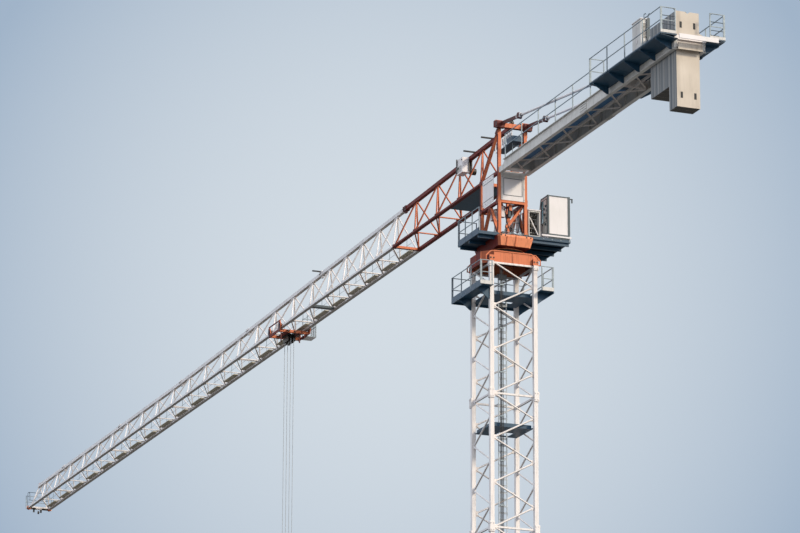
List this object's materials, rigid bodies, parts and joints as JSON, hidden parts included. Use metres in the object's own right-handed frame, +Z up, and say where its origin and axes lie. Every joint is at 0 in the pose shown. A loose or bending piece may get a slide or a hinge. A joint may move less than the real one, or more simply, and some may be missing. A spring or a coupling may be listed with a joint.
{
  "type": "tower crane, 1:10 scale model",
  "caption": "Flat-top tower crane scale model: lattice mast with collar platform, slewing turret and cab, lattice jib with travelling trolley, and tied counter-jib with concrete slabs.",
  "frame": {"origin": "underside of the foot frame, on the slewing axis", "axes": "+Z up along the slewing axis, +X along the jib towards its tip, +Y to the left of the jib"},
  "size_m": [9.062, 0.442, 4.2495],
  "materials": {
    "white_paint": "weathered warm white paint",
    "orange_paint": "weathered orange red paint",
    "blue_paint": "dark blue paint",
    "grey_paint": "satin grey paint",
    "galvanised_steel": "dull zinc",
    "dark_steel": "dark, greased",
    "wire_rope": "greased wire",
    "cable_sheath": "matt black",
    "window_glass": "tinted",
    "concrete": "cast concrete"
  },
  "bodies": {
    "root": {"foot_frame": "orange_paint", "mast_leg_front_left": "white_paint", "mast_leg_front_right": "white_paint", "mast_leg_rear_left": "white_paint", "mast_leg_rear_right": "white_paint", "mast_lacing_front": "white_paint", "mast_lacing_rear": "white_paint", "mast_lacing_left": "white_paint", "mast_lacing_right": "white_paint", "mast_ladder": "galvanised_steel", "mast_landings": "blue_paint", "supply_cable": "cable_sheath", "collar_platform": "blue_paint", "collar_railing": "galvanised_steel", "ring_support": "orange_paint"},
    "slewing_unit": {"slewing_ring": "dark_steel", "turntable": "orange_paint", "turret_side_left": "orange_paint", "turret_side_right": "orange_paint", "turret_braces": "orange_paint", "turret_head": "orange_paint", "head_platform": "blue_paint", "turret_panels": "white_paint", "slew_motors": "white_paint", "slewing_platform_left": "blue_paint", "slewing_platform_right": "blue_paint", "slewing_railings": "galvanised_steel", "cab_body": "white_paint", "cab_glass": "window_glass", "control_cabinet": "grey_paint", "jib_section_1": "orange_paint", "jib_section_2": "white_paint", "jib_section_3": "white_paint", "jib_section_4": "white_paint", "jib_section_5": "white_paint", "jib_section_6": "white_paint", "jib_section_7": "white_paint", "jib_tip": "white_paint", "jib_tip_railing": "galvanised_steel", "jib_walkway": "galvanised_steel", "jib_root_deck": "blue_paint", "trolley_winch": "white_paint", "counterjib_beams": "grey_paint", "counterjib_bracing": "white_paint", "counterjib_deck": "blue_paint", "counterjib_platforms": "blue_paint", "counterjib_railings": "galvanised_steel", "tie_links": "orange_paint", "tie_bars": "grey_paint", "counterweight_short": "concrete", "counterweight_long": "concrete", "hoist_winch": "grey_paint", "winch_cabinet": "grey_paint"},
    "trolley": {"trolley_frame": "orange_paint", "trolley_wheels": "dark_steel", "trolley_sheaves": "dark_steel", "trolley_basket": "galvanised_steel", "hoist_ropes": "wire_rope", "hook_block": "dark_steel"}
  },
  "joints": [
    {"name": "slew", "type": "hinge", "parent": "root", "child": "slewing_unit", "pos_m": [0, 0, 3.6555], "axis": [0, 0, 1], "continuous": true},
    {"name": "trolley_travel", "type": "slide", "parent": "slewing_unit", "child": "trolley", "axis": [1, 0, 0], "range_m": [-2.3, 4.2]}
  ]
}
